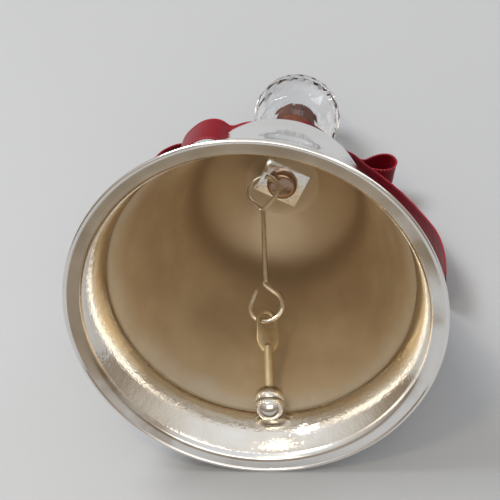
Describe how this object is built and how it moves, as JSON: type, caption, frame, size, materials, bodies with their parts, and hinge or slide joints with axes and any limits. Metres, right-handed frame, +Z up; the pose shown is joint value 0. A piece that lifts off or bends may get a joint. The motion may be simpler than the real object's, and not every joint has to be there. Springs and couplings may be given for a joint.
{
  "type": "christmas bell ornament",
  "caption": "Silver-plated hand bell ornament lying on its side, with a flared mouth, hinged wire-and-ball clapper, faceted crystal ball knob and red satin bow.",
  "frame": {"origin": "middle of the bounding box's footprint, on the surface the bell lies on", "axes": "+Z up from the table, +Y horizontal towards the crown and the knob, mouth facing -Y, +X to the right seen from the mouth"},
  "size_m": [0.0772, 0.1128, 0.0741],
  "materials": {
    "silver_plate": "polished silver plate outside and at the mouth, satin champagne inside",
    "hanger_metal": "hammered bright sheet",
    "screw_metal": "polished",
    "wire": "polished drawn wire",
    "satin_bronze": "satin",
    "polished_ball": "mirror polished",
    "crystal": "clear faceted glass",
    "plug_wood": "red-brown stained",
    "ribbon_satin": "crimson satin"
  },
  "bodies": {
    "bell": {"bell_shell": "silver_plate", "hanger_plate": "hanger_metal", "knob_screw": "screw_metal", "neck_spool": "silver_plate", "ball_cup": "plug_wood", "knob_plug": "plug_wood", "crystal_ball": "crystal", "ribbon_band": "ribbon_satin", "ribbon_knot": "ribbon_satin", "ribbon_loop_left": "ribbon_satin", "ribbon_loop_right": "ribbon_satin", "ribbon_tail_left": "ribbon_satin", "ribbon_tail_right": "ribbon_satin"},
    "link": {"clapper_link": "wire"},
    "clapper": {"clapper_stem": "satin_bronze", "clapper_collar": "satin_bronze", "clapper_ball": "polished_ball"}
  },
  "joints": [
    {"name": "link_swing", "type": "hinge", "parent": "bell", "child": "link", "pos_m": [-0.00416, 0.00845, 0.02489], "axis": [-1, 0, 0], "range_deg": [0, 50]},
    {"name": "clapper_swing", "type": "hinge", "parent": "link", "child": "clapper", "pos_m": [-0.00148, -0.02521, 0.013], "axis": [-1, 0, 0], "range_deg": [0, 25]}
  ]
}
